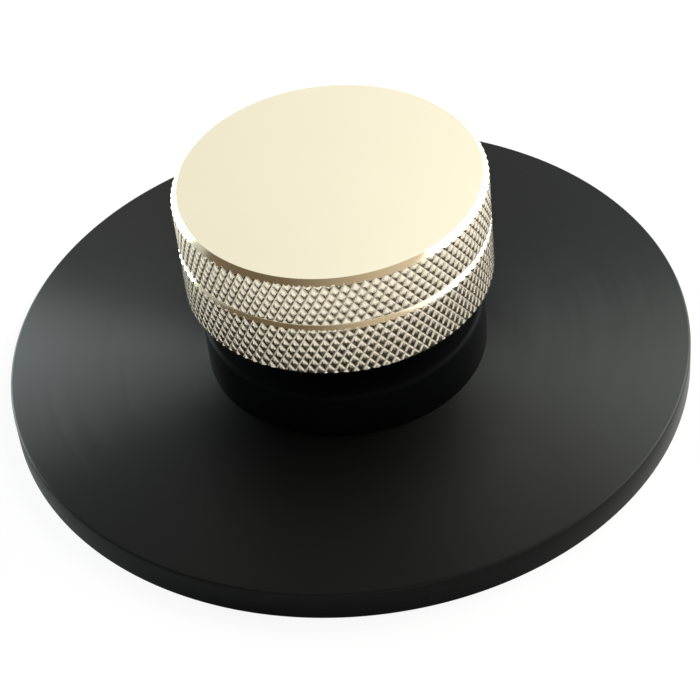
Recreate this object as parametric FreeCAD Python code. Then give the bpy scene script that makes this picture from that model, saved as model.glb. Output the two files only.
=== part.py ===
import FreeCAD, Part
import math
import os

# Record clamp for a turntable. A thin disc bears on the record's label and a hub stands on the disc.
# The knurled knob turns on the hub and draws a split collet up a taper, which grips the spindle.
# Z runs up the spindle, with zero at the face that rests on the label. Lengths are millimetres.

# Disc: its outer rim bears on the label, and its middle is relieved below
disc_diameter = 100.0
disc_thickness = 4.6
disc_edge_rounding = 0.35
disc_foot_rounding = 0.15
relief_diameter = 84.0
relief_depth = 0.6

# Hub: a flange on the disc, a spigot through the disc and a neck up to the knob
hub_diameter = 41.0
hub_height = 7.7
hub_edge_break = 0.8
neck_diameter = 26.0
neck_height = 5.65
neck_edge_break = 0.4
neck_root_fillet = 1.0
spigot_diameter = 24.0
spigot_clearance = 0.05

# Thrust washer on the neck
washer_thickness = 0.5
washer_margin = 1.0
washer_clearance = 0.3

# Knob: measured over the points of its knurl
knob_diameter = 44.4
knob_height = 16.4
knob_bevel = 0.8
groove_height = 8.35
groove_width = 1.25

# Knurl: two families of V grooves that cross, each with its own count and helix angle
knurl_depth = 0.28
left_groove_count = 94
left_groove_angle = 35.4
right_groove_count = 102
right_groove_angle = 27.6
first_point_angle = -0.306
first_point_height = -0.515

# Collet: a tapered head below, and a shank that is threaded where it enters the knob
spindle_bore_diameter = 7.5
bore_lead_in = 0.5
collet_sink = 0.3
head_diameter = 14.4
head_height = 8.0
head_land = 0.8
taper_angle = 10.0
thread_diameter = 10.0
thread_pitch = 1.25
thread_engagement = 10.5
thread_clearance = 0.1
thread_lead_in = 0.6
guide_clearance = 0.15
slit_count = 4
bore_past_slit = 1.65

# Travel: how far the knob turns, and what is left between taper and seat when it is tight
knob_turns = 1.0
seat_play = 0.1
end_play = 0.4

# Key pin in the neck, with its tip in the slit that faces +Y
key_diameter = 1.5
key_slit_clearance = 0.1
key_hole_clearance = 0.02
key_tip_gap = 0.35
key_sink = 0.2
slit_past_key = 0.4

# Countersunk screws that hold the disc to the hub
screw_count = 3
screw_diameter = 3.0
screw_head_diameter = 5.6
screw_sink = 0.1
screw_grip = 5.0
screw_hole_clearance = 0.1
screw_thread_clearance = 0.05
screw_drill_allowance = 0.8
screw_first_angle = 30.0
socket_across_flats = 2.0
socket_depth = 1.1

# Heights that the pieces share
hub_top = disc_thickness + hub_height
neck_top = hub_top + neck_height
knob_foot = neck_top + washer_thickness
knob_top = knob_foot + knob_height
collet_foot = relief_depth + collet_sink
head_top = collet_foot + head_height
collet_top = knob_foot + thread_engagement
collet_travel = thread_pitch * knob_turns
key_height = hub_top + neck_height / 2
slit_top = key_height + key_diameter / 2 + slit_past_key
bore_top = slit_top + bore_past_slit

# Radii that the pieces share
taper_slope = math.tan(math.radians(taper_angle))
bore_radius = spindle_bore_diameter / 2
head_radius = head_diameter / 2
shank_radius = thread_diameter / 2
guide_radius = shank_radius + guide_clearance
spigot_radius = spigot_diameter / 2
neck_radius = neck_diameter / 2
hub_radius = hub_diameter / 2
screw_radius = screw_diameter / 2
screw_head_radius = screw_head_diameter / 2
screw_circle_radius = (spigot_radius + hub_radius) / 2
screw_foot = relief_depth + screw_sink
screw_head_height = screw_head_radius - screw_radius

UP = FreeCAD.Vector(0, 0, 1)
AXIS = FreeCAD.Vector(0, 0, 0)
BEYOND = 1.0


def turned(outline):
    """Solid of revolution about the spindle's axis from radius and height pairs."""
    points = [FreeCAD.Vector(radius, 0, height) for radius, height in outline]
    return Part.Face(Part.makePolygon(points + points[:1])).revolve(AXIS, UP, 360)


def rim(shape, radius, height):
    """Circular edges of a shape with this radius, at this height."""
    def fits(edge):
        curve = edge.Curve
        return (isinstance(curve, Part.Circle) and math.isclose(curve.Radius, radius, abs_tol=1e-6)
                and math.isclose(curve.Center.z, height, abs_tol=1e-6))
    return [edge for edge in shape.Edges if fits(edge)]


def screw_places():
    """Points on the disc's underside plane where the screws stand."""
    for index in range(screw_count):
        angle = math.radians(screw_first_angle + 360 * index / screw_count)
        yield FreeCAD.Vector(screw_circle_radius * math.cos(angle), screw_circle_radius * math.sin(angle), 0)


def seat_radius(height):
    """Radius of the hub's taper: the head's cone, let out by the collet's travel and some play."""
    cone_start = collet_foot + head_land
    return head_radius - (height - cone_start - collet_travel) * taper_slope + seat_play


def make_disc():
    """Thin disc with a relieved underside, a hole for the spigot and countersunk screw holes."""
    hole_radius = spigot_radius + spigot_clearance
    disc_radius = disc_diameter / 2
    relief_radius = relief_diameter / 2
    disc = turned([(hole_radius, relief_depth), (relief_radius, relief_depth), (relief_radius, 0),
                   (disc_radius, 0), (disc_radius, disc_thickness), (hole_radius, disc_thickness)])
    disc = disc.makeFillet(disc_edge_rounding, rim(disc, disc_radius, disc_thickness))
    disc = disc.makeFillet(disc_foot_rounding, rim(disc, disc_radius, 0))
    sunk_radius = screw_head_radius + screw_hole_clearance
    hole_radius = screw_radius + screw_hole_clearance
    sunk_top = screw_foot + screw_head_height
    hole = turned([(0, 0), (sunk_radius, 0), (sunk_radius, screw_foot), (hole_radius, sunk_top),
                   (hole_radius, disc_thickness + BEYOND), (0, disc_thickness + BEYOND)])
    return disc.cut([hole.translated(place) for place in screw_places()])


def make_hub():
    """Stepped boss with the taper that closes the collet, a guide for the shank and blind screw holes."""
    seat_top = head_top + collet_travel + end_play
    hub = turned([(seat_radius(relief_depth), relief_depth), (spigot_radius, relief_depth),
                  (spigot_radius, disc_thickness), (hub_radius, disc_thickness), (hub_radius, hub_top),
                  (neck_radius, hub_top), (neck_radius, neck_top), (guide_radius, neck_top),
                  (guide_radius, seat_top), (seat_radius(seat_top), seat_top)])
    hub = hub.makeChamfer(hub_edge_break, rim(hub, hub_radius, hub_top))
    hub = hub.makeChamfer(neck_edge_break, rim(hub, neck_radius, neck_top))
    hub = hub.makeFillet(neck_root_fillet, rim(hub, neck_radius, hub_top))
    screw_hole = Part.makeCylinder(screw_radius + screw_thread_clearance, screw_grip + screw_drill_allowance,
                                   FreeCAD.Vector(0, 0, disc_thickness))
    key_hole = Part.makeCylinder(key_diameter / 2 + key_hole_clearance, neck_radius + BEYOND,
                                 FreeCAD.Vector(0, 0, key_height), FreeCAD.Vector(0, 1, 0))
    return hub.cut([screw_hole.translated(place) for place in screw_places()] + [key_hole])


def make_screw(place):
    """Countersunk screw, head down, with a hexagon socket."""
    screw_top = disc_thickness + screw_grip
    screw = turned([(0, screw_foot), (screw_head_radius, screw_foot),
                    (screw_radius, screw_foot + screw_head_height), (screw_radius, screw_top), (0, screw_top)])
    corner_radius = socket_across_flats / math.sqrt(3)
    corners = [FreeCAD.Vector(corner_radius * math.cos(math.radians(60 * index)),
                              corner_radius * math.sin(math.radians(60 * index)), screw_foot - BEYOND)
               for index in range(7)]
    socket = Part.Face(Part.makePolygon(corners)).extrude(UP * (socket_depth + BEYOND))
    return screw.cut(socket).translated(place)


def make_washer():
    """Flat ring that lies on the neck, under the knob."""
    inner = guide_radius + washer_clearance
    outer = neck_radius - washer_margin
    return turned([(inner, neck_top), (outer, neck_top), (outer, knob_foot), (inner, knob_foot)])


def make_key_pin():
    """Dowel pressed into the neck from +Y, with its tip in the collet's slit."""
    tip = bore_radius + key_tip_gap
    length = neck_radius - key_sink - tip
    return Part.makeCylinder(key_diameter / 2, length, FreeCAD.Vector(0, tip, key_height), FreeCAD.Vector(0, 1, 0))


def make_collet():
    """Split sleeve: a tapered head with slits, and a shank whose upper end is threaded into the knob."""
    cone_start = collet_foot + head_land
    cone_radius = head_radius - (head_top - cone_start) * taper_slope
    collet = turned([(bore_radius + bore_lead_in, collet_foot), (head_radius, collet_foot),
                     (head_radius, cone_start), (cone_radius, head_top), (shank_radius, head_top),
                     (shank_radius, collet_top), (0, collet_top), (0, bore_top), (bore_radius, bore_top),
                     (bore_radius, collet_foot + bore_lead_in)])
    collet = collet.makeChamfer(thread_lead_in, rim(collet, shank_radius, collet_top))
    slit_width = key_diameter + 2 * key_slit_clearance
    slit = Part.makeBox(slit_width, head_radius + BEYOND, slit_top - collet_foot + BEYOND,
                        FreeCAD.Vector(-slit_width / 2, 0, collet_foot - BEYOND))
    slits = [slit.rotated(AXIS, UP, 360 * index / slit_count) for index in range(slit_count)]
    return collet.cut(slits)


def make_knurled_blank():
    """Bar with a diamond knurl, taller than the knob: one four-sided point in each cell between the grooves."""
    tip_radius = knob_diameter / 2
    root_radius = tip_radius - knurl_depth
    pitch_line = math.pi * (tip_radius + root_radius)
    left_rise = pitch_line / (left_groove_count * math.tan(math.radians(left_groove_angle)))
    right_rise = pitch_line / (right_groove_count * math.tan(math.radians(right_groove_angle)))
    cells_per_rise = right_groove_count / left_rise + left_groove_count / right_rise
    cell_height = (left_groove_count + right_groove_count) / cells_per_rise
    low = knob_foot - cell_height
    high = knob_top + cell_height
    points = []
    numbers = {}

    def point(left, right, radius):
        """Number of the point this many grooves along each family, shared by all cells that meet there."""
        lap = math.floor(left / left_groove_count)
        key = (left - lap * left_groove_count, right - lap * right_groove_count)
        if key not in numbers:
            share = (key[0] / right_rise + key[1] / left_rise) / cells_per_rise
            angle = math.radians(first_point_angle + 360 * share)
            rise = (key[0] * right_groove_count - key[1] * left_groove_count) / cells_per_rise
            height = first_point_height + rise
            numbers[key] = len(points)
            points.append(FreeCAD.Vector(radius * math.cos(angle), radius * math.sin(angle), height))
        return numbers[key]

    facets = []
    for left in range(left_groove_count):
        first = math.ceil((left * right_groove_count - high * cells_per_rise) / left_groove_count)
        last = math.floor((left * right_groove_count - low * cells_per_rise) / left_groove_count)
        for right in range(first, last + 1):
            tip = point(left, right, tip_radius)
            around = [(0.5, 0.5), (0.5, -0.5), (-0.5, -0.5), (-0.5, 0.5)]
            pits = [point(left + across, right + along, root_radius) for across, along in around]
            facets += [(tip, pits[index - 1], pits[index]) for index in range(len(pits))]

    sides = {(facet[index - 1], facet[index]) for facet in facets for index in range(3)}
    open_sides = [(start, end) for start, end in sides if (end, start) not in sides]
    middle = (low + high) / 2
    ends = {True: len(points), False: len(points) + 1}
    points += [UP * (high + cell_height), UP * (low - cell_height)]
    facets += [(end, start, ends[points[start].z > middle]) for start, end in sorted(open_sides)]
    shell = Part.Shape()
    shell.makeShapeFromMesh((points, facets), 1e-4)
    return Part.makeSolid(shell)


def make_knob():
    """Knurled bar turned to length, bevelled, grooved round its middle and bored for the collet's thread."""
    tip_radius = knob_diameter / 2
    stock_radius = tip_radius + BEYOND
    groove = knob_foot + groove_height
    reach = groove_width / 2
    bore = shank_radius + thread_clearance
    bore_end = collet_top + collet_travel + end_play
    outline = turned([(bore + thread_lead_in, knob_foot), (stock_radius, knob_foot),
                      (stock_radius, groove - reach - BEYOND), (tip_radius - reach, groove),
                      (stock_radius, groove + reach + BEYOND), (stock_radius, knob_top - knob_bevel - BEYOND),
                      (tip_radius - knob_bevel, knob_top), (0, knob_top), (0, bore_end), (bore, bore_end),
                      (bore, knob_foot + thread_lead_in)])
    return make_knurled_blank().common(outline).Solids[0]


def main():
    """Builds every piece and writes each to its own file."""
    pieces = {"clamp_disc": make_disc(), "hub": make_hub(), "thrust_washer": make_washer(),
              "key_pin": make_key_pin(), "collet": make_collet(), "knob": make_knob()}
    for index, place in enumerate(screw_places(), start=1):
        pieces[f"hub_screw_{index}"] = make_screw(place)
    os.makedirs("parts", exist_ok=True)
    for node, shape in pieces.items():
        solid = shape.Solids[0]
        solid.exportStep(f"parts/{node}.step")
        print(node, "solids", len(shape.Solids), "valid", solid.isValid(), "volume", round(solid.Volume, 1),
              "faces", len(solid.Faces), "height", round(solid.BoundBox.ZMin, 3), round(solid.BoundBox.ZMax, 3))


main()
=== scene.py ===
import math

import bmesh
import bpy
from bpy.props import FloatProperty, FloatVectorProperty, IntProperty, PointerProperty
from bpy.types import Operator, Panel, PropertyGroup
from mathutils import Matrix, Vector


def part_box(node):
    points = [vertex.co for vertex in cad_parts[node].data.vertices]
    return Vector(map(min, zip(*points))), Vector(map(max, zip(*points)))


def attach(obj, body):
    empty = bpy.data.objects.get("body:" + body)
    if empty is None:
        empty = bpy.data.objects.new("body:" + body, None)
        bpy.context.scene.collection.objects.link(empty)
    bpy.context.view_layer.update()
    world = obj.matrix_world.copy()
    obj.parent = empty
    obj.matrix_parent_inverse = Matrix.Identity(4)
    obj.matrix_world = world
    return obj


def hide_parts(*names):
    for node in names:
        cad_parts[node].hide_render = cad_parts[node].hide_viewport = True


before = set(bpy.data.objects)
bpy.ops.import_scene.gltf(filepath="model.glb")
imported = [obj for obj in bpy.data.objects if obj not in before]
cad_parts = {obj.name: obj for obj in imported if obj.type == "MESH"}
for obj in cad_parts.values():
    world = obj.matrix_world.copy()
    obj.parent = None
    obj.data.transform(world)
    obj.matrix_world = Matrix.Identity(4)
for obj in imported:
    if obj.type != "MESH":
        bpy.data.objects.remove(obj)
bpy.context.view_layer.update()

bl_info = {
    "name": "Record clamp",
    "version": (1, 0, 0),
    "blender": (4, 5, 0),
    "location": "3D View > Sidebar > Clamp",
    "description": "Models and finishes the pieces of a record clamp around its packed frame",
    "category": "Object",
}

MILLIMETRE = 0.001
MERGE_DISTANCE = 2e-6
FRAME_TOLERANCE = 5e-6

# Cutters run this far past the faces that they cut, and the knurled bar half as far past the knob
PAST_FACE = 1 * MILLIMETRE

# A point past this share of a piece's radius is on its outer side
OUTER_SHARE = 0.9

SMALL_STEPS = 48
ROUNDING_STEPS = 4
SMOOTH_ANGLE = math.radians(25)
KNURL_SMOOTH_ANGLE = math.radians(15)
SENSOR_WIDTH = 36.0
SCREW_NODES = ("hub_screw_1", "hub_screw_2", "hub_screw_3")

# A quarter of a turn sets a stretched reflection across the turning lines
ACROSS_THE_LINES = 0.25


def colour(name, about, default):
    """Colour property with no alpha, written as linear values."""
    return FloatVectorProperty(name=name, description=about, default=default, subtype="COLOR", min=0, max=1)


def length(name, about, default):
    """Length property in metres."""
    return FloatProperty(name=name, description=about, default=default, unit="LENGTH", precision=5, min=0)


def share(name, about, default):
    """Property from 0 to 1."""
    return FloatProperty(name=name, description=about, default=default, subtype="FACTOR", min=0, max=1)


def angle(name, about, default):
    """Angle property, with its default in radians."""
    return FloatProperty(name=name, description=about, default=default, subtype="ANGLE")


def level(name, about, default):
    """Strength of a light, where 1 is white."""
    return FloatProperty(name=name, description=about, default=default, min=0)


def direction(name, about, default):
    """Direction property."""
    return FloatVectorProperty(name=name, description=about, default=default, subtype="DIRECTION")


def place(name, about, default):
    """Place property in metres."""
    return FloatVectorProperty(name=name, description=about, default=default, subtype="TRANSLATION")


def count(name, about, default):
    """Whole-number property."""
    return IntProperty(name=name, description=about, default=default, min=3)


class ClampSettings(PropertyGroup):
    """Sizes, colours and finishes of the clamp."""
    turning_steps: count("Turning steps", "Faces round a turned piece", 256)
    disc_edge: length("Disc edge", "Rounding of the disc's upper outer edge", 0.00035)
    disc_foot: length("Disc foot", "Rounding of the disc's lower outer edge", 0.00015)
    hub_edge: length("Hub edge", "Rounding of the neck's upper edge, and half that of the flange", 0.0004)
    small_edge: length("Small edge", "Rounding of the smaller edges of all the pieces", 0.00012)
    lip_edge: length("Lip edge", "Rounding of the knob's sharp edges", 0.00005)

    key_clearance: length("Key clearance", "Room round the key pin in the hub", 0.00002)
    slit_clearance: length("Slit clearance", "Room beside the key pin in a slit", 0.0001)
    slit_past_key: length("Slit past key", "How far the slits run above the key pin", 0.0004)
    screw_shank: length("Screw shank", "Radius of the screws' shanks", 0.0015)
    screw_clearance: length("Screw clearance", "Room round the screws in the disc", 0.0001)
    thread_clearance: length("Thread clearance", "Room round the screws in the hub", 0.00005)
    drill_allowance: length("Drill allowance", "How far the hub's holes run past the screws", 0.0008)
    socket_width: length("Socket width", "Across the flats of the screws' sockets", 0.002)
    socket_depth: length("Socket depth", "Depth of the screws' sockets", 0.0011)

    left_grooves: count("Left grooves", "Knurl grooves that rise to the left", 94)
    right_grooves: count("Right grooves", "Knurl grooves that rise to the right", 102)
    left_angle: angle("Left angle", "Left grooves' lean from the axis", math.radians(35.4))
    right_angle: angle("Right angle", "Right grooves' lean from the axis", math.radians(27.6))
    knurl_turn: angle("Knurl turn", "Where the knurl starts round the axis", math.radians(-0.306))
    knurl_drop: length("Knurl drop", "How far below the disc's underside the knurl starts", 0.000515)
    knurl_depth: length("Knurl depth", "Depth of the knurl's grooves", 0.0002)
    knurl_wall: length("Knurl wall", "Width of a groove's wall, seen from outside", 0.0002)
    knurl_shoulder: length("Knurl shoulder", "Width of the rounded shoulder above a wall", 0.00026)
    knurl_crown: share("Knurl crown", "Share of the depth that the shoulder takes", 0.35)

    black: colour("Black acetal", "Body colour of the disc and the hub", (0.0018, 0.002, 0.002))
    black_sheen: colour("Black sheen", "Tint of the black acetal's reflections", (0.96, 1.0, 0.95))
    metal: colour("Knob metal", "Reflected colour of the knob", (0.93, 0.86, 0.635))
    # Painted shade: the knob's metal made darker for the knurl
    knurl: colour("Knurl metal", "Reflected colour of the knurl's crowns", (0.87, 0.78, 0.63))
    # Painted shade: the colour that the knurl darkens to at the bottom of its pits
    pit_shade: colour("Knurl pits", "Reflected colour at the bottom of the knurl", (0.50, 0.44, 0.35))
    brass: colour("Brass", "Reflected colour of the collet", (0.80, 0.61, 0.30))
    steel: colour("Steel", "Reflected colour of the key pin", (0.56, 0.55, 0.53))
    oxide: colour("Black oxide", "Reflected colour of the screws", (0.075, 0.075, 0.08))
    nylon: colour("Nylon", "Body colour of the thrust washer", (0.03, 0.03, 0.031))

    disc_roughness: share("Disc roughness", "Roughness of the disc's turned face", 0.38)
    disc_lay: share("Disc lay", "How strongly the disc's turning lines stretch reflections", 0.85)
    disc_gloss: share("Disc gloss", "Strength of the disc's reflections", 0.17)
    wall_roughness: share("Wall roughness", "Roughness of the disc's edge", 0.3)
    wall_lay: share("Wall lay", "How strongly the edge's turning lines stretch reflections", 0.3)
    wall_gloss: share("Wall gloss", "Strength of the edge's reflections", 0.06)
    hub_roughness: share("Hub roughness", "Roughness of the hub", 0.4)
    hub_lay: share("Hub lay", "How strongly the hub's turning lines stretch reflections", 0.6)
    hub_gloss: share("Hub gloss", "Strength of the hub's reflections", 0.02)
    top_roughness: share("Top roughness", "Roughness of the knob's satin top", 0.195)
    top_lay: share("Top lay", "How strongly the top's turning lines stretch reflections", 0.1)
    top_streak: share("Top streak", "Swing of the roughness between the top's turning lines", 0.03)
    bevel_roughness: share("Bevel roughness", "Roughness of the polished bevel and groove", 0.155)
    bevel_lay: share("Bevel lay", "How strongly the bevel's turning lines stretch reflections", 0.3)
    bevel_streak: share("Bevel streak", "Swing of the roughness between the bevel's lines", 0.05)
    knurl_roughness: share("Knurl roughness", "Roughness of the knurl's crowns", 0.205)
    pit_dulling: share("Pit dulling", "How much rougher the knurl's pits are", 0.16)
    brass_roughness: share("Brass roughness", "Roughness of the collet", 0.31)
    brass_lay: share("Brass lay", "How strongly the collet's turning lines stretch reflections", 0.4)
    pin_roughness: share("Pin roughness", "Roughness of the key pin", 0.295)
    screw_roughness: share("Screw roughness", "Roughness of the screws", 0.375)
    nylon_roughness: share("Nylon roughness", "Roughness of the thrust washer", 0.575)
    nylon_gloss: share("Nylon gloss", "Strength of the thrust washer's reflections", 0.4)


class StageSettings(PropertyGroup):
    """Camera, light and floor."""
    distance: length("Camera distance", "From the disc's middle to the camera", 0.34209)
    elevation: angle("Elevation", "Camera's height above the horizon", math.radians(42.817))
    roll: angle("Roll", "Camera's turn about its own axis", math.radians(-6.644))
    pan: angle("Pan", "How far right of the disc's middle the camera aims", 0.00039)
    tilt: angle("Tilt", "How far above the disc's middle the camera aims", 0.00463)
    lens: FloatProperty(name="Lens", description="Focal length", default=118.35, unit="CAMERA")

    floor: colour("Floor", "Colour of the pale floor", (0.62, 0.62, 0.62))
    floor_size: length("Floor size", "Side of the square floor", 6.0)
    floor_gap: length("Floor gap", "Room between the floor and the clamp", 0.00003)
    floor_white: share("Floor white", "Share of plain white in the floor that the camera sees", 0.9)
    floor_roughness: share("Floor roughness", "Roughness of the floor", 0.9)
    floor_gloss: share("Floor gloss", "Strength of the floor's reflections", 0.1)

    canopy: colour("Canopy", "Colour of the dark card over the front", (0.15, 0.11, 0.075))
    canopy_end: colour("Canopy's right end", "Colour of the card's right end", (0.60, 0.50, 0.39))
    canopy_width: length("Canopy width", "Card's width from left to right", 1.44)
    canopy_depth: length("Canopy depth", "Card's width from front to back", 1.05)
    canopy_place: place("Canopy place", "Middle of the card", (-0.29, -0.375, 0.45))
    canopy_fade: length("Canopy fade", "How far from the middle the card's colours reach", 0.35)

    plain_light: level("Plain light", "Level of the surroundings all round", 0.55)
    mirrored_light: level("Mirrored light", "What reflections see beyond the plain light", 0.42)
    mirrored_slope: level("Mirrored slope", "How much more they see at the right than in the middle", 0.6)

    lamp_distance: length("Lamp distance", "From the clamp to each lamp", 0.8)
    left_direction: direction("Left lamp", "Where the left lamp stands", (-0.69, 0.66, 0.29))
    left_size: length("Left lamp size", "Side of the left lamp", 0.5)
    left_radiance: level("Left lamp radiance", "Brightness of the left lamp's face", 14.0)
    left_tint: colour("Left lamp tint", "Colour of the left lamp", (0.88, 1.0, 1.0))
    back_direction: direction("Back lamp", "Where the back lamp stands", (0.74, 0.50, 0.45))
    back_size: length("Back lamp size", "Side of the back lamp", 0.5)
    back_radiance: level("Back lamp radiance", "Brightness of the back lamp's face", 7.0)
    back_tint: colour("Back lamp tint", "Colour of the back lamp", (0.97, 1.0, 0.97))
    right_direction: direction("Right lamp", "Where the right lamp stands", (0.68, 0.20, 0.70))
    right_size: length("Right lamp size", "Side of the right lamp", 0.7)
    right_radiance: level("Right lamp radiance", "Brightness of the right lamp's face", 6.2)
    right_tint: colour("Right lamp tint", "Colour of the right lamp", (1.0, 1.0, 0.95))


def points(node):
    """Points of a CAD node."""
    return [vertex.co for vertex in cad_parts[node].data.vertices]


def radii(node, height):
    """Distances from the axis of a CAD node's points at one height, in rising order."""
    return sorted(p.xy.length for p in points(node) if abs(p.z - height) < FRAME_TOLERANCE)


def heights(node, radius):
    """Heights of a CAD node's points at one distance from the axis, in rising order."""
    return sorted(p.z for p in points(node) if abs(p.xy.length - radius) < FRAME_TOLERANCE)


def bore_radius(node, lead):
    """Radius of a CAD node's bore, which is the narrowest form past half of its lead-in."""
    return min(p.xy.length for p in points(node) if p.xy.length > lead / 2)


class Term:
    """A socket in an expression, where each operator adds a Math node."""

    def __init__(self, sheet, socket):
        self.sheet = sheet
        self.socket = socket

    def join(self, operation, first, second):
        """New Math node's output as a term."""
        return self.sheet.term("ShaderNodeMath", {"operation": operation}, {0: first, 1: second})

    def __add__(self, other):
        return self.join("ADD", self, other)

    def __radd__(self, other):
        return self.join("ADD", other, self)

    def __sub__(self, other):
        return self.join("SUBTRACT", self, other)

    def __rsub__(self, other):
        return self.join("SUBTRACT", other, self)

    def __mul__(self, other):
        return self.join("MULTIPLY", self, other)

    def __rmul__(self, other):
        return self.join("MULTIPLY", other, self)

    def __truediv__(self, other):
        return self.join("DIVIDE", self, other)

    def __rtruediv__(self, other):
        return self.join("DIVIDE", other, self)

    def __pow__(self, other):
        return self.join("POWER", self, other)

    def __rpow__(self, other):
        return self.join("POWER", other, self)

    def at_least(self, other):
        """The greater of two values."""
        return self.join("MAXIMUM", self, other)

    def at_most(self, other):
        """The smaller of two values."""
        return self.join("MINIMUM", self, other)

    def swing(self, width):
        """Pattern from 0 to 1 as a change about zero that is this wide in all."""
        return (self - 0.5) * width


class Sheet:
    """Node sheet of a material or a world."""

    def __init__(self, tree):
        self.tree = tree

    def node(self, kind, settings=None, sockets=None):
        """New node with its settings, then the values or links of its sockets."""
        made = self.tree.nodes.new(kind)
        for name, value in (settings or {}).items():
            setattr(made, name, value)
        for name, value in (sockets or {}).items():
            self.feed(made.inputs[name], value)
        return made

    def feed(self, socket, value):
        """Links a socket to a term or another socket, or sets its value."""
        if isinstance(value, Term):
            value = value.socket
        if isinstance(value, bpy.types.NodeSocket):
            self.tree.links.new(value, socket)
        else:
            socket.default_value = value

    def term(self, kind, settings=None, sockets=None):
        """New node's first output as a term."""
        return Term(self, self.node(kind, settings, sockets).outputs[0])

    def vector(self, x, y, z):
        """Vector socket from three numbers or terms."""
        return self.node("ShaderNodeCombineXYZ", None, {"X": x, "Y": y, "Z": z}).outputs[0]

    def axes(self, coordinates):
        """The three parts of one of the surface's or the world's coordinates, as terms."""
        source = self.node("ShaderNodeTexCoord").outputs[coordinates]
        return [Term(self, part) for part in self.node("ShaderNodeSeparateXYZ", None, {0: source}).outputs]

    def fade(self, value, start, end):
        """Smooth step from 0 at the start to 1 at the end."""
        return self.term("ShaderNodeMapRange", {"interpolation_type": "SMOOTHSTEP"},
                         {"Value": value, "From Min": start, "From Max": end, "To Min": 0.0, "To Max": 1.0})

    def mix(self, factor, first, second):
        """Colour between two colours."""
        node = self.node("ShaderNodeMix", {"data_type": "RGBA"},
                         {"Factor": factor, "A": (*first, 1.0), "B": (*second, 1.0)})
        return node.outputs["Result"]

    def noise(self, vector, detail):
        """Noise from 0 to 1 at a vector in the noise's own cells."""
        return self.term("ShaderNodeTexNoise", None, {"Vector": vector, "Scale": 1.0, "Detail": detail})


class Finish(Sheet):
    """Material with one main shader and the turned piece's own coordinates."""

    # Height moves the rings too, so that an upright wall has rings of its own
    height_share = 0.73

    # Keeps the rings from dividing by nothing on the axis itself
    nearest_radius = 1e-6

    def __init__(self, name, **constants):
        self.material = bpy.data.materials.new(name)
        self.material.use_nodes = True
        super().__init__(self.material.node_tree)
        self.shader = self.tree.nodes["Principled BSDF"]
        for socket, value in constants.items():
            self.set(socket.replace("_", " "), value)
        self.x, self.y, self.z = self.axes("Object")
        self.radius = (self.x * self.x + self.y * self.y) ** 0.5

    def set(self, socket, value):
        """Sets or links one of the main shader's sockets, named in any case."""
        names = {known.name.lower(): known for known in self.shader.inputs}
        if isinstance(value, tuple):
            value = (*value, 1.0)
        self.feed(names[socket.lower()], value)

    def rings(self, pitch, waver, detail=2.0):
        """Noise drawn out into rings round the axis, this far apart along the radius and the height."""
        reach = self.radius.at_least(self.nearest_radius)
        across = (self.radius + self.z * self.height_share) / pitch
        return self.noise(self.vector(across, self.x / reach * waver, self.y / reach * waver), detail)

    def grain(self, size, detail=4.0):
        """Noise in even cells of this size."""
        return self.noise(self.vector(self.x / size, self.y / size, self.z / size), detail)

    def bump(self, height, depth):
        """Feeds a height from 0 to 1 to the main shader's normal, with this depth in metres."""
        node = self.node("ShaderNodeBump", None, {"Height": height, "Distance": depth, "Strength": 1.0})
        self.set("Normal", node.outputs["Normal"])


def shaded(tint, factor):
    """Colour made darker or lighter by one factor."""
    return [factor * value for value in tint]


def halfway_to_white(tint):
    """Colour between a tint and white."""
    return [0.5 + 0.5 * value for value in tint]


def black_acetal(settings, name, roughness, lay, gloss):
    """Turned black plastic: fine rings in the gloss, and reflections drawn out across the rings."""
    finish = Finish(name, specular_ior_level=gloss, anisotropic=lay, anisotropic_rotation=ACROSS_THE_LINES,
                    specular_tint=tuple(settings.black_sheen))
    fine = finish.rings(pitch=0.09 * MILLIMETRE, waver=5.0)
    broad = finish.rings(pitch=0.5 * MILLIMETRE, waver=1.5, detail=4.0)
    grain = finish.grain(1.6 * MILLIMETRE)
    finish.set("Roughness", roughness + fine.swing(0.05) + broad.swing(0.16) + grain.swing(0.03))
    finish.set("Base Color", finish.mix((broad + grain) / 2, settings.black, shaded(settings.black, 1.35)))
    finish.bump(fine, 0.004 * MILLIMETRE)
    return finish.material


def satin_metal(settings, name, roughness, lay, streak):
    """Plated metal with fine turning lines."""
    finish = Finish(name, metallic=1.0, anisotropic=lay, anisotropic_rotation=ACROSS_THE_LINES)
    fine = finish.rings(pitch=0.07 * MILLIMETRE, waver=6.0)
    broad = finish.rings(pitch=0.5 * MILLIMETRE, waver=2.0)
    cloud = finish.grain(6 * MILLIMETRE, detail=3.0)
    finish.set("Roughness", roughness + fine.swing(streak) + broad.swing(0.03) + cloud.swing(0.03))
    paler = 0.12 * broad + 0.10 * cloud
    finish.set("Base Color", finish.mix(paler, settings.metal, halfway_to_white(settings.metal)))
    finish.bump(fine, 0.002 * MILLIMETRE)
    return finish.material


def knurled_metal(settings, tip, root):
    """Knob's metal made darker on the knurl as painted shade, more so in the pits, which are duller too."""
    finish = Finish("knob_knurl", metallic=1.0)
    depth = 1.0 - finish.fade(finish.radius, root, tip)
    grain = finish.grain(0.2 * MILLIMETRE, detail=3.0)
    cloud = finish.grain(3 * MILLIMETRE, detail=3.0)
    dulled = settings.knurl_roughness + settings.pit_dulling * depth
    finish.set("Roughness", dulled + grain.swing(0.06) + cloud.swing(0.05))
    # Painted shade: darker from the crowns down into the pits, more so in some patches
    painted_pit_shade = (depth * (0.55 + 0.5 * cloud)).at_most(1.0)
    finish.set("Base Color", finish.mix(painted_pit_shade, settings.knurl, settings.pit_shade))
    finish.bump(grain, 0.002 * MILLIMETRE)
    return finish.material


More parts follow.
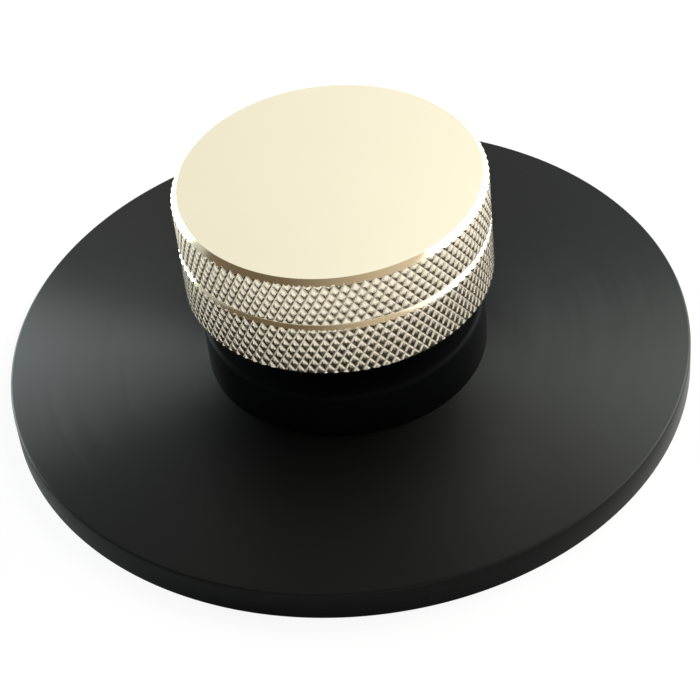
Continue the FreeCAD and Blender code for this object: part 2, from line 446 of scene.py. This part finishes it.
def turned_brass(settings):
    """Bright brass with turning lines and a little tarnish."""
    finish = Finish("collet_brass", metallic=1.0, anisotropic=settings.brass_lay,
                    anisotropic_rotation=ACROSS_THE_LINES)
    fine = finish.rings(pitch=0.08 * MILLIMETRE, waver=5.0)
    cloud = finish.grain(3 * MILLIMETRE)
    finish.set("Roughness", settings.brass_roughness + fine.swing(0.1) + cloud.swing(0.12))
    finish.set("Base Color", finish.mix(cloud, settings.brass, shaded(settings.brass, 0.72)))
    finish.bump(fine, 0.004 * MILLIMETRE)
    return finish.material


def ground_steel(name, tint, roughness):
    """Steel with a fine grain."""
    finish = Finish(name, metallic=1.0)
    grain = finish.grain(0.3 * MILLIMETRE)
    finish.set("Roughness", roughness + grain.swing(0.15))
    finish.set("Base Color", finish.mix(grain, tint, shaded(tint, 0.75)))
    finish.bump(grain, 0.004 * MILLIMETRE)
    return finish.material


def matt_nylon(settings):
    """Dull black nylon with a slight mottle."""
    finish = Finish("washer_nylon", specular_ior_level=settings.nylon_gloss)
    grain = finish.grain(0.5 * MILLIMETRE)
    finish.set("Roughness", settings.nylon_roughness + grain.swing(0.15))
    finish.set("Base Color", finish.mix(grain, settings.nylon, shaded(settings.nylon, 1.3)))
    finish.bump(grain, 0.005 * MILLIMETRE)
    return finish.material


def clear_selection():
    """Leaves nothing selected, in object mode."""
    bpy.ops.object.select_all(action="DESELECT")


def select_only(piece):
    """Makes one object the selected and active one."""
    clear_selection()
    piece.select_set(True)
    bpy.context.view_layer.objects.active = piece


def apply_place():
    """Moves the selected object's place into its mesh."""
    bpy.ops.object.transform_apply(location=True, rotation=True, scale=True)


def close_mesh():
    """Merges doubles and turns all faces outwards, in edit mode."""
    bpy.ops.mesh.select_all(action="SELECT")
    bpy.ops.mesh.remove_doubles(threshold=MERGE_DISTANCE)
    bpy.ops.mesh.normals_make_consistent(inside=False)


def pick_nearest(piece, places):
    """Selects only the vertices of a mesh in edit mode that lie nearest to some places."""
    bpy.ops.mesh.select_all(action="DESELECT")
    bpy.ops.object.mode_set(mode="OBJECT")
    for wanted in places:
        nearest = min(piece.data.vertices, key=lambda vertex: (vertex.co - wanted).length)
        nearest.select = True
    bpy.ops.object.mode_set(mode="EDIT")


def drawn_line(name, corners):
    """Line through corners, drawn by extruding a point, and left in edit mode."""
    clear_selection()
    bpy.ops.mesh.primitive_plane_add(size=MILLIMETRE)
    piece = bpy.context.object
    piece.name = piece.data.name = name
    bpy.ops.object.mode_set(mode="EDIT")
    bpy.ops.mesh.select_mode(type="VERT")
    bpy.ops.mesh.merge(type="CENTER")
    bpy.ops.transform.translate(value=corners[0])
    for start, end in zip(corners, corners[1:]):
        bpy.ops.mesh.extrude_vertices_move(TRANSFORM_OT_translate={"value": end - start})
    return piece


def turned(name, outline, steps):
    """Outline of (radius, height, rounding) corners, closed unless its ends are on the axis, and spun."""
    corners = [Vector((radius, 0, height)) for radius, height, _ in outline]
    piece = drawn_line(name, corners)
    if corners[0].x > 0 or corners[-1].x > 0:
        pick_nearest(piece, (corners[0], corners[-1]))
        bpy.ops.mesh.edge_face_add()
    for corner, (_, _, rounding) in reversed(list(zip(corners, outline))):
        if rounding:
            pick_nearest(piece, (corner,))
            bpy.ops.mesh.bevel(affect="VERTICES", offset=rounding, segments=ROUNDING_STEPS, profile=0.5)
    bpy.ops.mesh.select_all(action="SELECT")
    bpy.ops.mesh.spin(steps=steps, angle=2 * math.pi, center=(0, 0, 0), axis=(0, 0, 1))
    close_mesh()
    bpy.ops.object.mode_set(mode="OBJECT")
    return piece


def cross_rod(radius, start, end, height):
    """Rod along Y from start to end, at one height above the disc's underside."""
    clear_selection()
    middle = (0, (start + end) / 2, height)
    bpy.ops.mesh.primitive_cylinder_add(vertices=SMALL_STEPS, radius=radius, depth=end - start,
                                        location=middle, rotation=(math.pi / 2, 0, 0))
    apply_place()
    return bpy.context.object


def discard(helper):
    """Removes a helper's mesh, and its object with it."""
    bpy.data.meshes.remove(helper.data)


def cut_away(piece, cutters, operation="DIFFERENCE"):
    """Takes the cutters' shapes out of a piece, or keeps what lies in them, and removes the cutters."""
    for cutter in cutters:
        select_only(piece)
        corners_before = len(piece.data.vertices)
        modifier = piece.modifiers.new("cut", "BOOLEAN")
        modifier.operation = operation
        modifier.solver = "MANIFOLD"
        modifier.object = cutter
        bpy.ops.object.modifier_apply(modifier=modifier.name)
        if len(piece.data.vertices) == corners_before:
            raise RuntimeError(f"{cutter.name} left {piece.name} uncut")
        discard(cutter)


def screw_blank(settings, name, clearance, foot, past_tip):
    """Countersunk screw's form on the clamp's axis, let out by a clearance, from a foot to past its tip."""
    low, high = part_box(SCREW_NODES[0])
    head = (high.x - low.x) / 2 + clearance
    shank = settings.screw_shank + clearance
    end = high.z + past_tip
    outline = [(0, foot, 0), (head, foot, 0), (head, low.z, 0), (shank, low.z + head - shank, 0),
               (shank, end, 0), (0, end, 0)]
    return turned(name, outline, SMALL_STEPS)


def screw_copies(name, blank):
    """Copies of a blank at the screws' places, each with its own mesh, in place of the blank."""
    copies = []
    for index, node in enumerate(SCREW_NODES, start=1):
        low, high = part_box(node)
        middle = (low + high) / 2
        select_only(blank)
        bpy.ops.object.duplicate(linked=False)
        copy = bpy.context.object
        copy.name = copy.data.name = f"{name}_{index}"
        bpy.ops.transform.translate(value=(middle.x, middle.y, 0))
        apply_place()
        copies.append(copy)
    discard(blank)
    return copies


def finished(piece, body, node, materials, region=lambda face: 0, smooth_angle=SMOOTH_ANGLE):
    """Shades a piece smooth, gives its regions their materials and fixes it to its body."""
    select_only(piece)
    bpy.ops.object.shade_smooth_by_angle(angle=smooth_angle)
    piece.data.materials.clear()
    for material in materials:
        piece.data.materials.append(material)
    for face in piece.data.polygons:
        face.material_index = region(face)
    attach(piece, body)
    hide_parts(node)


class CLAMP_OT_disc(Operator):
    """Turns the thin disc, relieved below, with countersinks for the screws"""
    bl_idname = "clamp.disc"
    bl_label = "Disc"

    def execute(self, context):
        settings = context.scene.clamp
        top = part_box("clamp_disc")[1]
        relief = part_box("hub")[0].z
        hole = radii("clamp_disc", top.z)[0]
        relieved = radii("clamp_disc", relief)[-1]
        small = settings.small_edge
        outline = [(hole, relief, small), (relieved, relief, 0), (relieved, 0, small),
                   (top.x, 0, settings.disc_foot), (top.x, top.z, settings.disc_edge), (hole, top.z, 0)]
        disc = turned("disc_body", outline, settings.turning_steps)
        sink = screw_blank(settings, "sink_blank", settings.screw_clearance, relief - PAST_FACE, PAST_FACE)
        cut_away(disc, screw_copies("countersink", sink))
        face = black_acetal(settings, "disc_face", settings.disc_roughness, settings.disc_lay,
                            settings.disc_gloss)
        wall = black_acetal(settings, "disc_wall", settings.wall_roughness, settings.wall_lay,
                            settings.wall_gloss)
        finished(disc, "base", "clamp_disc", [face, wall], self.region)
        return {"FINISHED"}

    @staticmethod
    def region(face):
        """Faces that are nearer to level come first, and those that are nearer to upright second."""
        upright = abs(face.normal.z) < 0.5
        return int(upright)


class CLAMP_OT_hub(Operator):
    """Turns the hub: spigot, flange, neck, and the taper that closes the collet"""
    bl_idname = "clamp.hub"
    bl_label = "Hub"

    def execute(self, context):
        settings = context.scene.clamp
        low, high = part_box("hub")
        disc_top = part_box("clamp_disc")[1].z
        edge, small = settings.hub_edge, settings.small_edge
        flange = high.x
        flange_top = max(p.z for p in points("hub") if p.xy.length > OUTER_SHARE * flange)
        neck = radii("hub", high.z)[-1] + edge
        guide = radii("hub", high.z)[0]
        mouth = radii("hub", low.z)[0]
        spigot = radii("hub", low.z)[-1]
        seat_top = heights("hub", guide)[0]
        seat = radii("hub", seat_top)[-1]
        outline = [(mouth, low.z, small), (spigot, low.z, 0), (spigot, disc_top, 0),
                   (flange, disc_top, small), (flange, flange_top, 2 * edge), (neck, flange_top, 2 * edge),
                   (neck, high.z, edge), (guide, high.z, small), (guide, seat_top, 0), (seat, seat_top, 0)]
        hub = turned("hub_body", outline, settings.turning_steps)
        pin_low, pin_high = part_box("key_pin")
        key_hole = cross_rod(pin_high.x + settings.key_clearance, PAST_FACE, neck + PAST_FACE,
                             (pin_low.z + pin_high.z) / 2)
        drill = screw_blank(settings, "drill_blank", settings.thread_clearance, low.z,
                            settings.drill_allowance)
        cut_away(hub, [key_hole, *screw_copies("tapped_hole", drill)])
        face = black_acetal(settings, "hub_face", settings.hub_roughness, settings.hub_lay,
                            settings.hub_gloss)
        finished(hub, "base", "hub", [face])
        return {"FINISHED"}


class CLAMP_OT_washer(Operator):
    """Turns the thrust washer that the knob bears on"""
    bl_idname = "clamp.washer"
    bl_label = "Thrust washer"

    def execute(self, context):
        settings = context.scene.clamp
        low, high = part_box("thrust_washer")
        inner = radii("thrust_washer", low.z)[0]
        small = settings.small_edge
        outline = [(inner, low.z, small), (high.x, low.z, small), (high.x, high.z, small),
                   (inner, high.z, small)]
        washer = turned("thrust_ring", outline, settings.turning_steps // 2)
        finished(washer, "base", "thrust_washer", [matt_nylon(settings)])
        return {"FINISHED"}


class CLAMP_OT_key_pin(Operator):
    """Makes the dowel that keeps the collet from turning"""
    bl_idname = "clamp.key_pin"
    bl_label = "Key pin"

    def execute(self, context):
        settings = context.scene.clamp
        low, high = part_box("key_pin")
        pin = cross_rod(high.x, low.y, high.y, (low.z + high.z) / 2)
        pin.name = pin.data.name = "dowel"
        modifier = pin.modifiers.new("edge", "BEVEL")
        modifier.width = settings.small_edge
        modifier.segments = 3
        modifier.limit_method = "ANGLE"
        bpy.ops.object.modifier_apply(modifier=modifier.name)
        steel = ground_steel("pin_steel", settings.steel, settings.pin_roughness)
        finished(pin, "base", "key_pin", [steel])
        return {"FINISHED"}


class CLAMP_OT_screws(Operator):
    """Turns a countersunk screw, sinks its hexagon socket and copies it to each screw's place"""
    bl_idname = "clamp.screws"
    bl_label = "Screws"

    def execute(self, context):
        settings = context.scene.clamp
        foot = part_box(SCREW_NODES[0])[0].z
        blank = screw_blank(settings, "screw_blank", 0, foot, 0)
        clear_selection()
        bpy.ops.mesh.primitive_cylinder_add(vertices=6, radius=settings.socket_width / math.sqrt(3),
                                            depth=2 * settings.socket_depth, location=(0, 0, foot))
        cut_away(blank, [bpy.context.object])
        oxide = ground_steel("screw_oxide", settings.oxide, settings.screw_roughness)
        for screw, node in zip(screw_copies("fixing_screw", blank), SCREW_NODES):
            finished(screw, "base", node, [oxide])
        return {"FINISHED"}


class CLAMP_OT_collet(Operator):
    """Turns the collet, bores it for the spindle and saws its slits"""
    bl_idname = "clamp.collet"
    bl_label = "Collet"

    def execute(self, context):
        settings = context.scene.clamp
        low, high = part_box("collet")
        knob_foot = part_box("knob")[0].z
        head = radii("collet", low.z)[-1]
        lead = radii("collet", low.z)[0]
        bore = bore_radius("collet", lead)
        bore_top = heights("collet", bore)[-1]
        land = heights("collet", head)[-1]
        shank = max(p.xy.length for p in points("collet") if p.z > knob_foot)
        head_top = heights("collet", shank)[0]
        cone = radii("collet", head_top)[-1]
        small = settings.small_edge
        outline = [(lead, low.z, small), (head, low.z, 2 * small), (head, land, small),
                   (cone, head_top, small), (shank, head_top, small), (shank, high.z, 4 * small),
                   (0, high.z, 0), (0, bore_top, 0), (bore, bore_top, 0), (bore, low.z + lead - bore, small)]
        collet = turned("collet_sleeve", outline, settings.turning_steps // 2)
        cut_away(collet, self.slits(settings, low.z - PAST_FACE, 3 * head))
        finished(collet, "collet", "collet", [turned_brass(settings)])
        return {"FINISHED"}

    def slits(self, settings, foot, reach):
        """Two crossed blades from a foot to just above the key pin, wide enough for the pin."""
        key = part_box("key_pin")[1]
        width = 2 * (key.x + settings.slit_clearance)
        top = key.z + settings.slit_past_key
        blades = []
        for turn in (0, math.pi / 2):
            clear_selection()
            bpy.ops.mesh.primitive_cube_add(size=1, location=(0, 0, (foot + top) / 2),
                                            rotation=(0, 0, turn), scale=(width, reach, top - foot))
            blades.append(bpy.context.object)
        return blades


class KnurlNet:
    """Points where two families of helical grooves cross round a bar, in rows and columns."""

    # Grooves run half a step from the knurl's points, so both families are counted in halves
    half_step = 0.5
    spare_rows = 3

    def __init__(self, settings, root):
        self.root = root
        self.turn = settings.knurl_turn
        self.drop = settings.knurl_drop
        self.left = settings.left_grooves
        self.right = settings.right_grooves
        around = 2 * math.pi * (root + settings.knurl_depth / 2)
        self.left_rise = around / self.left / math.tan(settings.left_angle)
        self.right_rise = around / self.right / math.tan(settings.right_angle)
        self.crossings_per_metre = self.right / self.left_rise + self.left / self.right_rise
        self.row_fall = self.left / self.crossings_per_metre
        column_rise = (self.right - self.left) / self.crossings_per_metre
        column_turn = 2 * math.pi * (1 / self.right_rise + 1 / self.left_rise) / self.crossings_per_metre
        self.drift = self.left * column_rise
        self.sweep = self.left * column_turn

    def crossing(self, row):
        """Place where the first left groove meets one right groove."""
        share_of_turn = (self.half_step / self.right_rise + row / self.left_rise) / self.crossings_per_metre
        bearing = self.turn + 2 * math.pi * share_of_turn
        height = (self.half_step * self.right - row * self.left) / self.crossings_per_metre - self.drop
        return Vector((self.root * math.cos(bearing), self.root * math.sin(bearing), height))

    def column(self, low, high):
        """Crossings along the first left groove, from above a bar's top to below its foot."""
        first = math.floor(-high / self.row_fall) - self.spare_rows - self.half_step
        rows = math.ceil((high - low + self.drift) / self.row_fall) + 2 * self.spare_rows + 2
        return [self.crossing(first + row) for row in range(rows)]


def knurled_bar(settings, root, low, high):
    """Bar with flat-topped diamonds between crossing grooves, a little longer than from low to high."""
    net = KnurlNet(settings, root)
    bar = drawn_line("knob_body", net.column(low, high))
    bpy.ops.object.mode_set(mode="OBJECT")
    modifier = bar.modifiers.new("columns", "SCREW")
    modifier.axis = "Z"
    modifier.angle = net.sweep
    modifier.screw_offset = net.drift
    modifier.steps = modifier.render_steps = net.left
    bpy.ops.object.modifier_apply(modifier=modifier.name)
    bpy.ops.object.mode_set(mode="EDIT")
    close_mesh()
    join_into_diamonds(bar, net.row_fall)
    raise_diamonds(settings)
    for height, beyond in ((low - PAST_FACE / 2, "clear_inner"), (high + PAST_FACE / 2, "clear_outer")):
        bpy.ops.mesh.select_all(action="SELECT")
        bpy.ops.mesh.bisect(plane_co=(0, 0, height), plane_no=(0, 0, 1), use_fill=True, **{beyond: True})
    close_mesh()
    bpy.ops.object.mode_set(mode="OBJECT")
    return bar


def join_into_diamonds(bar, row_fall):
    """Splits the net's leaning cells and joins the halves across their level edges, in edit mode."""
    bpy.ops.mesh.quads_convert_to_tris(quad_method="SHORTEST_DIAGONAL")
    bpy.ops.mesh.select_all(action="DESELECT")
    mesh = bmesh.from_edit_mesh(bar.data)
    for edge in mesh.edges:
        start, end = (vertex.co.z for vertex in edge.verts)
        edge.select_set(abs(start - end) < row_fall / 2 and not edge.is_boundary)
    bmesh.update_edit_mesh(bar.data)
    bpy.ops.mesh.dissolve_edges(use_verts=False)


def raise_diamonds(settings):
    """Insets each diamond twice: up a groove's wall, then up a shoulder to a flat crown, in edit mode."""
    crown = settings.knurl_depth * settings.knurl_crown
    bpy.ops.mesh.select_all(action="SELECT")
    wall = settings.knurl_depth - crown
    bpy.ops.mesh.inset(thickness=settings.knurl_wall, depth=wall, use_individual=True)
    bpy.ops.mesh.inset(thickness=settings.knurl_shoulder, depth=crown, use_individual=True)


class CLAMP_OT_knob(Operator):
    """Knurls a bar and turns it to the knob's outline: satin top, polished bevel and groove"""
    bl_idname = "clamp.knob"
    bl_label = "Knob"

    def execute(self, context):
        settings = context.scene.clamp
        low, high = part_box("knob")
        tip = max(p.xy.length for p in points("knob"))
        bevel = tip - radii("knob", high.z)[-1]
        side = [p for p in points("knob") if p.xy.length > OUTER_SHARE * tip and p.z < high.z - 2 * bevel]
        deepest = min(side, key=lambda p: p.xy.length)
        groove = deepest.z
        reach = tip - deepest.xy.length
        lead = radii("knob", low.z)[0]
        bore = bore_radius("knob", lead)
        bore_end = heights("knob", bore)[-1]
        lip = settings.lip_edge
        past = tip + lip
        outline = [(lead, low.z, 0), (past, low.z, 0), (past, groove - reach - lip, 0),
                   (tip - reach, groove, settings.small_edge), (past, groove + reach + lip, 0),
                   (past, high.z - bevel - lip, 0), (tip - bevel, high.z, lip), (0, high.z, 0),
                   (0, bore_end, 0), (bore, bore_end, 0), (bore, low.z + lead - bore, 0)]
        root = tip - settings.knurl_depth
        knob = knurled_bar(settings, root, low.z, high.z)
        cut_away(knob, [turned("knob_outline", outline, settings.turning_steps)], "INTERSECT")
        top = satin_metal(settings, "knob_top", settings.top_roughness, settings.top_lay,
                          settings.top_streak)
        polish = satin_metal(settings, "knob_bevel", settings.bevel_roughness, settings.bevel_lay,
                             settings.bevel_streak)
        knurl = knurled_metal(settings, tip, root)
        level_facing, sloped_facing = 0.99, 0.3
        margin = 0.05 * MILLIMETRE

        def region(face):
            """Level and inner faces come first, the bevel and the groove second, and the knurl third."""
            radius, height = face.center.xy.length, face.center.z
            facing = abs(face.normal.z)
            if facing > level_facing or radius < OUTER_SHARE * tip:
                return 0
            from_groove = abs(height - groove)
            on_bevel = radius + height > tip - bevel + high.z - margin
            in_groove = from_groove < reach and radius - from_groove > tip - reach - margin
            return 1 if on_bevel or (in_groove and facing > sloped_facing) else 2

        finished(knob, "knob", "knob", [top, polish, knurl], region, KNURL_SMOOTH_ANGLE)
        return {"FINISHED"}


class CLAMP_OT_stage(Operator):
    """Sets the floor, the light and the camera"""
    bl_idname = "clamp.stage"
    bl_label = "Stage"

    def execute(self, context):
        settings = context.scene.clamp_stage
        self.make_floor(settings)
        self.make_canopy(settings)
        self.make_world(context, settings)
        for side in ("left", "back", "right"):
            self.make_lamp(settings, side)
        self.make_camera(context, settings)
        context.scene.view_settings.view_transform = "Standard"
        return {"FINISHED"}

    def make_floor(self, settings):
        """Pale floor that looks white to the camera, keeps a soft shadow and is clear from below."""
        clear_selection()
        bpy.ops.mesh.primitive_plane_add(size=settings.floor_size, location=(0, 0, -settings.floor_gap))
        floor = bpy.context.object
        floor.name = "floor"
        finish = Finish("floor", base_color=tuple(settings.floor), roughness=settings.floor_roughness,
                        specular_ior_level=settings.floor_gloss)
        seen = Term(finish, finish.node("ShaderNodeLightPath").outputs["Is Camera Ray"])
        white = finish.node("ShaderNodeEmission", None, {"Color": (1, 1, 1, 1), "Strength": 1.0})
        pale = finish.node("ShaderNodeMixShader", None, {0: seen * settings.floor_white,
                                                         1: finish.shader.outputs[0], 2: white.outputs[0]})
        clear = finish.node("ShaderNodeBsdfTransparent")
        below = finish.node("ShaderNodeNewGeometry").outputs["Backfacing"]
        whole = finish.node("ShaderNodeMixShader", None, {0: below,
                                                          1: pale.outputs[0], 2: clear.outputs[0]})
        finish.feed(finish.tree.nodes["Material Output"].inputs["Surface"], whole.outputs[0])
        floor.data.materials.append(finish.material)

    def make_canopy(self, settings):
        """Dark card over the front, which the knob's front reflects."""
        clear_selection()
        bpy.ops.mesh.primitive_plane_add(size=1.0)
        card = bpy.context.object
        card.name = "canopy"
        bpy.ops.transform.resize(value=(settings.canopy_width, settings.canopy_depth, 1))
        bpy.ops.transform.translate(value=settings.canopy_place)
        apply_place()
        finish = Finish("canopy", base_color=(0.0, 0.0, 0.0), roughness=1.0, specular_ior_level=0.0,
                        emission_strength=1.0)
        across = finish.fade(finish.x, -settings.canopy_fade, settings.canopy_fade)
        finish.set("Emission Color", finish.mix(across, settings.canopy, settings.canopy_end))
        card.data.materials.append(finish.material)
        card.visible_camera = False
        card.visible_diffuse = False
        card.visible_shadow = False

    def make_world(self, context, settings):
        """White surroundings for what the camera and the metal see, and a plain level of light."""
        world = bpy.data.worlds.new("studio")
        world.use_nodes = True
        context.scene.world = world
        sheet = Sheet(world.node_tree)
        path = sheet.node("ShaderNodeLightPath").outputs
        seen = Term(sheet, path["Is Camera Ray"]) + path["Is Glossy Ray"] + path["Is Transmission Ray"]
        across = sheet.axes("Generated")[0]
        mirrored = settings.mirrored_light + settings.mirrored_slope * across
        background = sheet.tree.nodes["Background"].inputs
        sheet.feed(background["Color"], (1, 1, 1, 1))
        sheet.feed(background["Strength"], settings.plain_light + mirrored * seen.at_most(1.0))

    def make_lamp(self, settings, side):
        """Square lamp that faces the clamp from one side, as bright as a card of its radiance."""
        towards = Vector(getattr(settings, f"{side}_direction")).normalized()
        size = getattr(settings, f"{side}_size")
        clear_selection()
        bpy.ops.object.light_add(type="AREA", location=towards * settings.lamp_distance)
        lamp = bpy.context.object
        lamp.name = lamp.data.name = f"{side}_soft_box"
        lamp.rotation_euler = towards.to_track_quat("Z", "Y").to_euler()
        lamp.data.shape = "SQUARE"
        lamp.data.size = size
        lamp.data.energy = getattr(settings, f"{side}_radiance") * math.pi * size ** 2
        lamp.data.color = getattr(settings, f"{side}_tint")
        lamp.visible_camera = False

    def make_camera(self, context, settings):
        """Camera where the photograph was taken from."""
        clear_selection()
        bpy.ops.object.camera_add()
        camera = bpy.context.object
        upright = Vector((0, 0, 1))
        stand = settings.distance * Vector((0, -math.cos(settings.elevation), math.sin(settings.elevation)))
        ahead = -stand.normalized()
        right = ahead.cross(upright).normalized()
        ahead = (ahead + settings.pan * right + settings.tilt * right.cross(ahead)).normalized()
        right = ahead.cross(upright).normalized()
        aim = Matrix((right, right.cross(ahead), -ahead)).transposed()
        roll = Matrix.Rotation(settings.roll, 3, "Z")
        camera.matrix_world = Matrix.Translation(stand) @ (aim @ roll).to_4x4()
        camera.data.lens = settings.lens
        camera.data.sensor_width = SENSOR_WIDTH
        context.scene.camera = camera


class CLAMP_PT_panel(Panel):
    """Lists the clamp's settings and the operators that make its pieces"""
    bl_idname = "CLAMP_PT_panel"
    bl_label = "Record clamp"
    bl_space_type = "VIEW_3D"
    bl_region_type = "UI"
    bl_category = "Clamp"

    def draw(self, context):
        for group in (context.scene.clamp, context.scene.clamp_stage):
            for name in group.__annotations__:
                self.layout.prop(group, name)
        for operator in OPERATORS:
            self.layout.operator(operator.bl_idname)


OPERATORS = (CLAMP_OT_disc, CLAMP_OT_hub, CLAMP_OT_washer, CLAMP_OT_key_pin, CLAMP_OT_screws,
             CLAMP_OT_collet, CLAMP_OT_knob, CLAMP_OT_stage)
CLASSES = (ClampSettings, StageSettings, *OPERATORS, CLAMP_PT_panel)


def register():
    """Registers the classes and their settings."""
    for item in CLASSES:
        bpy.utils.register_class(item)
    bpy.types.Scene.clamp = PointerProperty(type=ClampSettings)
    bpy.types.Scene.clamp_stage = PointerProperty(type=StageSettings)


def unregister():
    """Removes the classes and their settings."""
    del bpy.types.Scene.clamp_stage
    del bpy.types.Scene.clamp
    for item in reversed(CLASSES):
        bpy.utils.unregister_class(item)


def main():
    """Makes every piece and the stage."""
    register()
    bpy.ops.clamp.disc()
    bpy.ops.clamp.hub()
    bpy.ops.clamp.washer()
    bpy.ops.clamp.key_pin()
    bpy.ops.clamp.screws()
    bpy.ops.clamp.collet()
    bpy.ops.clamp.knob()
    bpy.ops.clamp.stage()


if __name__ == "__main__":
    main()
